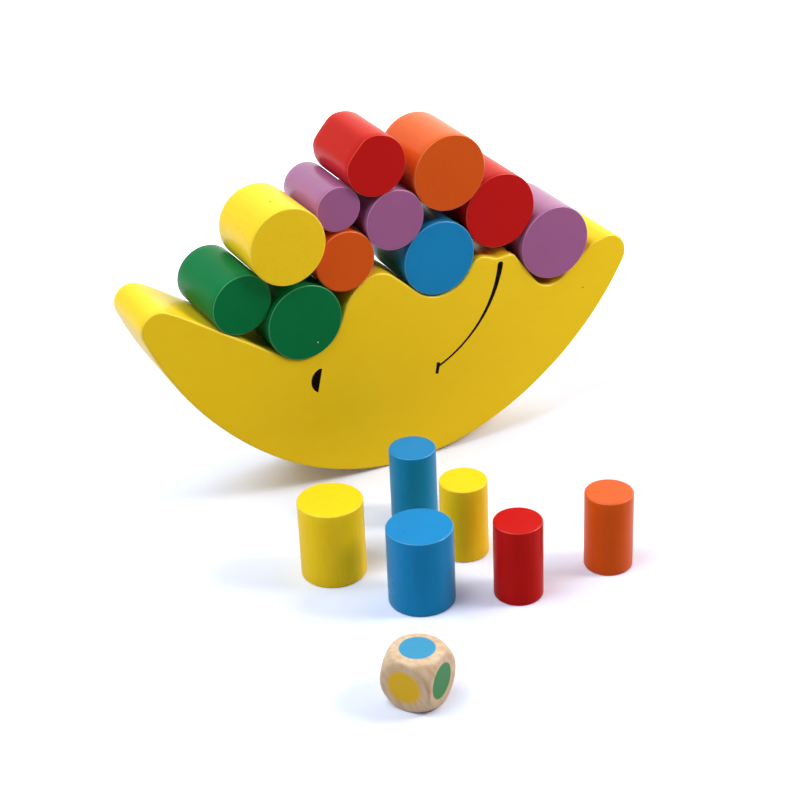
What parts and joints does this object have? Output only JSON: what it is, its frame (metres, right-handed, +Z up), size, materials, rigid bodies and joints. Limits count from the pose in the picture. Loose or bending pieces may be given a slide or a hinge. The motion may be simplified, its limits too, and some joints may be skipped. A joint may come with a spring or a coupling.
{
  "type": "balance stacking toy",
  "caption": "Wooden crescent moon that rocks on its round back, with painted dowel blocks to pile on its face profile and a colour die that picks the next block.",
  "frame": {"origin": "on the table top, under the middle of the set's outer box", "axes": "+X along the moon towards its chin, -Y towards the front where its face looks, +Z up"},
  "size_m": [0.272, 0.2388, 0.1853],
  "materials": {
    "yellow_paint": "opaque satin-gloss paint on sawn and turned wood",
    "green_paint": "opaque satin-gloss paint on turned wood",
    "blue_paint": "opaque satin-gloss paint on turned wood",
    "red_paint": "opaque satin-gloss paint on turned wood",
    "orange_paint": "opaque satin-gloss paint on turned wood",
    "purple_paint": "opaque satin-gloss paint on turned wood",
    "beech": "sanded pale wood, each face with one painted dot"
  },
  "bodies": {
    "blue_medium": {"block_blue_medium": "blue_paint"},
    "moon": {"moon_rocker": "yellow_paint"},
    "green_large": {"block_green_large": "green_paint"},
    "green_medium": {"block_green_medium": "green_paint"},
    "blue_large": {"block_blue_large": "blue_paint"},
    "purple_large": {"block_purple_large": "purple_paint"},
    "orange_medium": {"block_orange_medium": "orange_paint"},
    "yellow_large": {"block_yellow_large": "yellow_paint"},
    "purple_small": {"block_purple_small": "purple_paint"},
    "purple_medium": {"block_purple_medium": "purple_paint"},
    "red_large": {"block_red_large": "red_paint"},
    "red_medium": {"block_red_medium": "red_paint"},
    "orange_large": {"block_orange_large": "orange_paint"},
    "yellow_medium": {"block_yellow_medium": "yellow_paint"},
    "blue_small": {"block_blue_small": "blue_paint"},
    "yellow_small": {"block_yellow_small": "yellow_paint"},
    "red_small": {"block_red_small": "red_paint"},
    "orange_small": {"block_orange_small": "orange_paint"},
    "die": {"colour_die": "beech"}
  },
  "joints": [
    {"name": "moon_rock", "type": "hinge", "parent": "blue_medium", "child": "moon", "pos_m": [0.00215, 0.09816, 0.1262], "axis": [0, 1, 0], "range_deg": [-12, 12]},
    {"name": "green_large_slide", "type": "slide", "parent": "moon", "child": "green_large", "axis": [0, -1, 0], "range_m": [-0.018, 0.018]},
    {"name": "green_medium_slide", "type": "slide", "parent": "moon", "child": "green_medium", "axis": [0, -1, 0], "range_m": [-0.018, 0.018]},
    {"name": "blue_large_slide", "type": "slide", "parent": "moon", "child": "blue_large", "axis": [0, -1, 0], "range_m": [-0.018, 0.018]},
    {"name": "purple_large_slide", "type": "slide", "parent": "moon", "child": "purple_large", "axis": [0, -1, 0], "range_m": [-0.018, 0.018]},
    {"name": "orange_medium_slide", "type": "slide", "parent": "moon", "child": "orange_medium", "axis": [0, -1, 0], "range_m": [-0.018, 0.018]},
    {"name": "yellow_large_slide", "type": "slide", "parent": "moon", "child": "yellow_large", "axis": [0, -1, 0], "range_m": [-0.018, 0.018]},
    {"name": "purple_small_slide", "type": "slide", "parent": "moon", "child": "purple_small", "axis": [0, -1, 0], "range_m": [-0.018, 0.018]},
    {"name": "purple_medium_slide", "type": "slide", "parent": "moon", "child": "purple_medium", "axis": [0, -1, 0], "range_m": [-0.018, 0.018]},
    {"name": "red_large_slide", "type": "slide", "parent": "moon", "child": "red_large", "axis": [0, -1, 0], "range_m": [-0.018, 0.018]},
    {"name": "red_medium_slide", "type": "slide", "parent": "moon", "child": "red_medium", "axis": [0, -1, 0], "range_m": [-0.018, 0.018]},
    {"name": "orange_large_slide", "type": "slide", "parent": "moon", "child": "orange_large", "axis": [0, -1, 0], "range_m": [-0.018, 0.018]},
    {"name": "yellow_medium_lift", "type": "slide", "parent": "blue_medium", "child": "yellow_medium", "axis": [0, 0, 1], "range_m": [0, 0.18]},
    {"name": "blue_small_lift", "type": "slide", "parent": "blue_medium", "child": "blue_small", "axis": [0, 0, 1], "range_m": [0, 0.18]},
    {"name": "yellow_small_lift", "type": "slide", "parent": "blue_medium", "child": "yellow_small", "axis": [0, 0, 1], "range_m": [0, 0.18]},
    {"name": "red_small_lift", "type": "slide", "parent": "blue_medium", "child": "red_small", "axis": [0, 0, 1], "range_m": [0, 0.18]},
    {"name": "orange_small_lift", "type": "slide", "parent": "blue_medium", "child": "orange_small", "axis": [0, 0, 1], "range_m": [0, 0.18]},
    {"name": "die_lift", "type": "slide", "parent": "blue_medium", "child": "die", "axis": [0, 0, 1], "range_m": [0, 0.18]}
  ]
}
